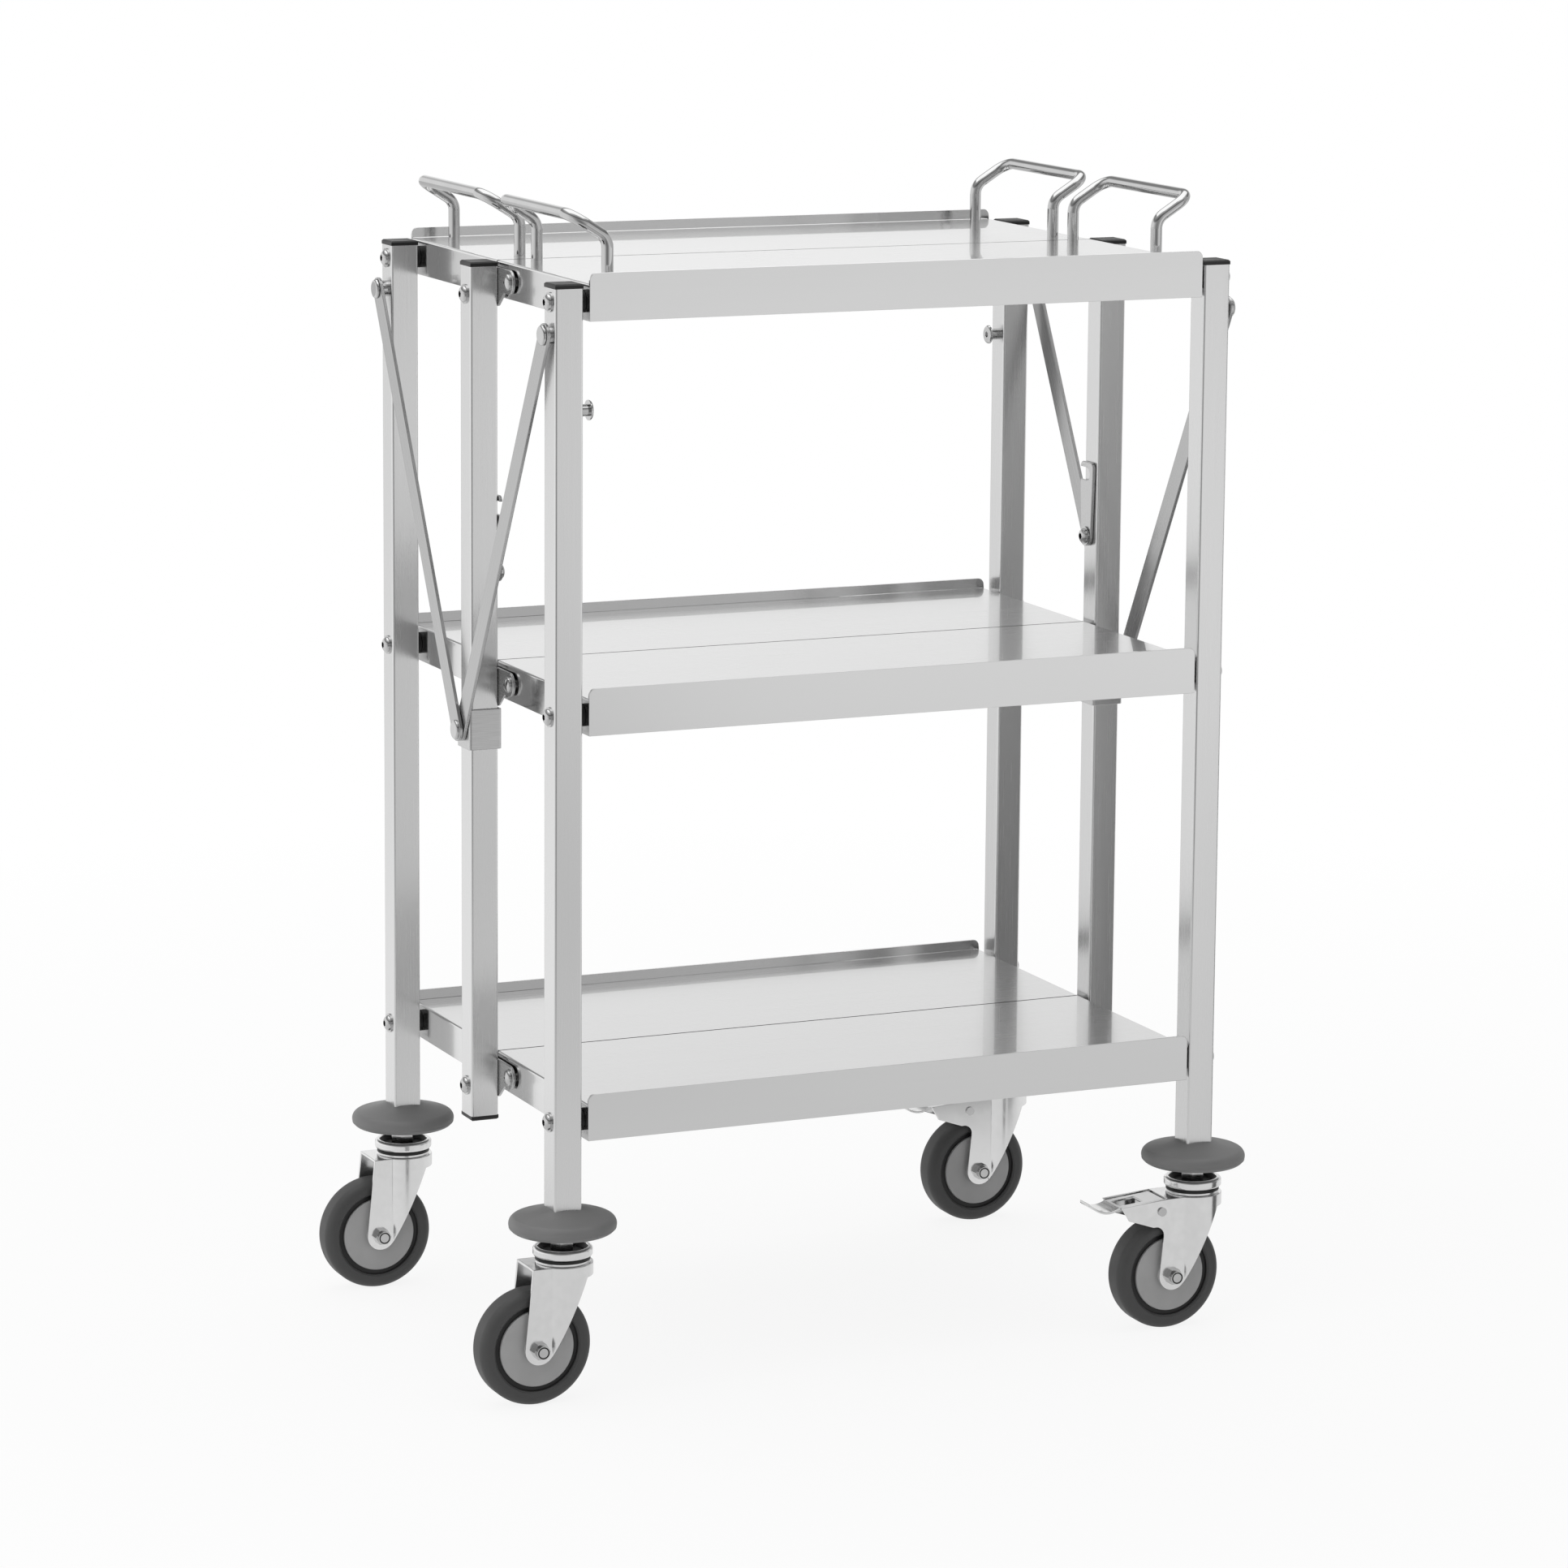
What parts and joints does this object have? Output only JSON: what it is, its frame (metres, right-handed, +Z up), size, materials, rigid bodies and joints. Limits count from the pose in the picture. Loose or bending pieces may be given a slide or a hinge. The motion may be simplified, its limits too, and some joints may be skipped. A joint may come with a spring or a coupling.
{
  "type": "folding serving cart",
  "caption": "Folding stainless serving cart: square posts, split shelves on a parallelogram fold, V braces with sliding sleeves, latch hooks, rod handles and swivel casters with brakes",
  "frame": {"origin": "on the floor, midway between the four outer posts", "axes": "X along the shelves, Y from front to rear, Z up"},
  "size_m": [0.724, 0.4818, 1.007],
  "materials": {
    "brushed_stainless": "satin, brushed along its length",
    "polished_stainless": "near-mirror sheet",
    "bright_fasteners": "polished",
    "zinc_fork": "bright zinc plate",
    "black_plastic": "moulded, matt",
    "grey_bumper_rubber": "moulded, matt",
    "tread_rubber": "moulded, matt",
    "hub_plastic": "moulded, satin"
  },
  "bodies": {
    "front_frame": {"front_posts": "brushed_stainless", "front_post_caps": "black_plastic", "front_shelf_bolts": "bright_fasteners", "front_pivot_washers": "black_plastic", "front_brace_rivets": "bright_fasteners", "front_latch_stud": "bright_fasteners", "front_bumpers": "grey_bumper_rubber", "front_caster_stems": "zinc_fork"},
    "front_top_shelf": {"front_top_tray": "polished_stainless", "front_handles": "brushed_stainless"},
    "front_middle_shelf": {"front_middle_tray": "polished_stainless"},
    "front_bottom_shelf": {"front_bottom_tray": "polished_stainless"},
    "front_left_brace": {"front_left_brace": "brushed_stainless"},
    "front_left_caster": {"front_left_fork": "zinc_fork", "front_left_axle": "bright_fasteners"},
    "front_left_wheel": {"front_left_tread": "tread_rubber", "front_left_hub": "hub_plastic"},
    "front_right_brace": {"front_right_brace": "brushed_stainless"},
    "front_right_caster": {"front_right_fork": "zinc_fork", "front_right_axle": "bright_fasteners"},
    "front_right_wheel": {"front_right_tread": "tread_rubber", "front_right_hub": "hub_plastic"},
    "front_right_pedal": {"front_right_brake_pedal": "zinc_fork"},
    "rear_frame": {"rear_posts": "brushed_stainless", "rear_post_caps": "black_plastic", "rear_shelf_bolts": "bright_fasteners", "rear_pivot_washers": "black_plastic", "rear_brace_rivets": "bright_fasteners", "rear_latch_stud": "bright_fasteners", "rear_bumpers": "grey_bumper_rubber", "rear_caster_stems": "zinc_fork"},
    "rear_top_shelf": {"rear_top_tray": "polished_stainless", "rear_handles": "brushed_stainless"},
    "rear_middle_shelf": {"rear_middle_tray": "polished_stainless"},
    "rear_bottom_shelf": {"rear_bottom_tray": "polished_stainless"},
    "rear_left_brace": {"rear_left_brace": "brushed_stainless", "left_sleeve_rivet": "bright_fasteners"},
    "rear_left_caster": {"rear_left_fork": "zinc_fork", "rear_left_axle": "bright_fasteners"},
    "rear_left_wheel": {"rear_left_tread": "tread_rubber", "rear_left_hub": "hub_plastic"},
    "rear_right_brace": {"rear_right_brace": "brushed_stainless", "right_sleeve_rivet": "bright_fasteners"},
    "rear_right_caster": {"rear_right_fork": "zinc_fork", "rear_right_axle": "bright_fasteners"},
    "rear_right_wheel": {"rear_right_tread": "tread_rubber", "rear_right_hub": "hub_plastic"},
    "rear_right_pedal": {"rear_right_brake_pedal": "zinc_fork"},
    "mid_frame": {"mid_posts": "brushed_stainless", "mid_post_caps": "black_plastic", "hinge_plates": "brushed_stainless", "hinge_plate_bolts": "bright_fasteners", "ear_pivot_pins": "bright_fasteners", "hook_pivot_bolts": "bright_fasteners"},
    "left_hook": {"left_latch_hook": "brushed_stainless"},
    "left_sleeve": {"left_brace_sleeve": "brushed_stainless"},
    "right_hook": {"right_latch_hook": "brushed_stainless"},
    "right_sleeve": {"right_brace_sleeve": "brushed_stainless"}
  },
  "joints": [
    {"name": "fold", "type": "hinge", "parent": "front_frame", "child": "front_top_shelf", "pos_m": [0, -0.195, 0.9325], "axis": [1, 0, 0], "range_deg": [0, 82]},
    {"name": "mid_frame_hinge", "type": "hinge", "parent": "front_top_shelf", "child": "mid_frame", "pos_m": [0, -0.037, 0.9325], "axis": [1, 0, 0], "range_deg": [-82.02, 0]},
    {"name": "front_middle_shelf_hinge", "type": "hinge", "parent": "front_frame", "child": "front_middle_shelf", "pos_m": [0, -0.195, 0.587], "axis": [1, 0, 0], "range_deg": [0, 82.02]},
    {"name": "front_bottom_shelf_hinge", "type": "hinge", "parent": "front_frame", "child": "front_bottom_shelf", "pos_m": [0, -0.195, 0.2415], "axis": [1, 0, 0], "range_deg": [0, 82.02]},
    {"name": "rear_top_shelf_hinge", "type": "hinge", "parent": "mid_frame", "child": "rear_top_shelf", "pos_m": [0, 0.037, 0.9325], "axis": [1, 0, 0], "range_deg": [-82.02, 0]},
    {"name": "rear_middle_shelf_hinge", "type": "hinge", "parent": "mid_frame", "child": "rear_middle_shelf", "pos_m": [0, 0.037, 0.587], "axis": [1, 0, 0], "range_deg": [-82.02, 0]},
    {"name": "rear_bottom_shelf_hinge", "type": "hinge", "parent": "mid_frame", "child": "rear_bottom_shelf", "pos_m": [0, 0.037, 0.2415], "axis": [1, 0, 0], "range_deg": [-82.02, 0]},
    {"name": "rear_frame_hinge", "type": "hinge", "parent": "rear_top_shelf", "child": "rear_frame", "pos_m": [0, 0.195, 0.9325], "axis": [1, 0, 0], "range_deg": [0, 82.02]},
    {"name": "front_left_brace_hinge", "type": "hinge", "parent": "front_frame", "child": "front_left_brace", "pos_m": [-0.3, -0.195, 0.9054], "axis": [1, 0, 0], "range_deg": [-20.11, 0]},
    {"name": "front_right_brace_hinge", "type": "hinge", "parent": "front_frame", "child": "front_right_brace", "pos_m": [0.3, -0.195, 0.9054], "axis": [1, 0, 0], "range_deg": [-20.11, 0]},
    {"name": "rear_left_brace_hinge", "type": "hinge", "parent": "rear_frame", "child": "rear_left_brace", "pos_m": [-0.3, 0.195, 0.9054], "axis": [1, 0, 0], "range_deg": [0, 20.11]},
    {"name": "rear_right_brace_hinge", "type": "hinge", "parent": "rear_frame", "child": "rear_right_brace", "pos_m": [0.3, 0.195, 0.9054], "axis": [1, 0, 0], "range_deg": [0, 20.11]},
    {"name": "left_sleeve_slide", "type": "slide", "parent": "mid_frame", "child": "left_sleeve", "axis": [0, 0, 1], "range_m": [-0.20166, 0]},
    {"name": "right_sleeve_slide", "type": "slide", "parent": "mid_frame", "child": "right_sleeve", "axis": [0, 0, 1], "range_m": [-0.20166, 0]},
    {"name": "left_hook_turn", "type": "hinge", "parent": "mid_frame", "child": "left_hook", "pos_m": [-0.286, -0.003, 0.68], "axis": [1, 0, 0], "range_deg": [0, 84.35]},
    {"name": "right_hook_turn", "type": "hinge", "parent": "mid_frame", "child": "right_hook", "pos_m": [0.286, 0.003, 0.68], "axis": [-1, 0, 0], "range_deg": [0, 84.35]},
    {"name": "front_left_swivel", "type": "hinge", "parent": "front_frame", "child": "front_left_caster", "pos_m": [-0.3, -0.195, 0.12], "axis": [0, 0, 1], "continuous": true},
    {"name": "front_left_roll", "type": "hinge", "parent": "front_left_caster", "child": "front_left_wheel", "pos_m": [-0.328, -0.195, 0.05], "axis": [0, 1, 0], "continuous": true},
    {"name": "front_right_swivel", "type": "hinge", "parent": "front_frame", "child": "front_right_caster", "pos_m": [0.3, -0.195, 0.12], "axis": [0, 0, 1], "continuous": true},
    {"name": "front_right_roll", "type": "hinge", "parent": "front_right_caster", "child": "front_right_wheel", "pos_m": [0.272, -0.195, 0.05], "axis": [0, 1, 0], "continuous": true},
    {"name": "front_right_brake", "type": "hinge", "parent": "front_right_caster", "child": "front_right_pedal", "pos_m": [0.26, -0.195, 0.1095], "axis": [0, -1, 0], "range_deg": [0, 10]},
    {"name": "rear_left_swivel", "type": "hinge", "parent": "rear_frame", "child": "rear_left_caster", "pos_m": [-0.3, 0.195, 0.12], "axis": [0, 0, 1], "continuous": true},
    {"name": "rear_left_roll", "type": "hinge", "parent": "rear_left_caster", "child": "rear_left_wheel", "pos_m": [-0.328, 0.195, 0.05], "axis": [0, 1, 0], "continuous": true},
    {"name": "rear_right_swivel", "type": "hinge", "parent": "rear_frame", "child": "rear_right_caster", "pos_m": [0.3, 0.195, 0.12], "axis": [0, 0, 1], "continuous": true},
    {"name": "rear_right_roll", "type": "hinge", "parent": "rear_right_caster", "child": "rear_right_wheel", "pos_m": [0.272, 0.195, 0.05], "axis": [0, 1, 0], "continuous": true},
    {"name": "rear_right_brake", "type": "hinge", "parent": "rear_right_caster", "child": "rear_right_pedal", "pos_m": [0.26, 0.195, 0.1095], "axis": [0, -1, 0], "range_deg": [0, 10]}
  ],
  "couplings": [
    {"joint": "mid_frame_hinge", "follows": "fold", "ratio": -1},
    {"joint": "front_middle_shelf_hinge", "follows": "fold", "ratio": 1},
    {"joint": "front_bottom_shelf_hinge", "follows": "fold", "ratio": 1},
    {"joint": "rear_top_shelf_hinge", "follows": "fold", "ratio": -1},
    {"joint": "rear_middle_shelf_hinge", "follows": "fold", "ratio": -1},
    {"joint": "rear_bottom_shelf_hinge", "follows": "fold", "ratio": -1},
    {"joint": "rear_frame_hinge", "follows": "fold", "ratio": 1},
    {"joint": "front_left_brace_hinge", "follows": "fold", "ratio": -0.24501},
    {"joint": "front_right_brace_hinge", "follows": "fold", "ratio": -0.24501},
    {"joint": "rear_left_brace_hinge", "follows": "fold", "ratio": 0.24501},
    {"joint": "rear_right_brace_hinge", "follows": "fold", "ratio": 0.24501},
    {"joint": "left_sleeve_slide", "follows": "fold", "m_per_rad": -0.14076},
    {"joint": "right_sleeve_slide", "follows": "fold", "m_per_rad": -0.14076}
  ]
}
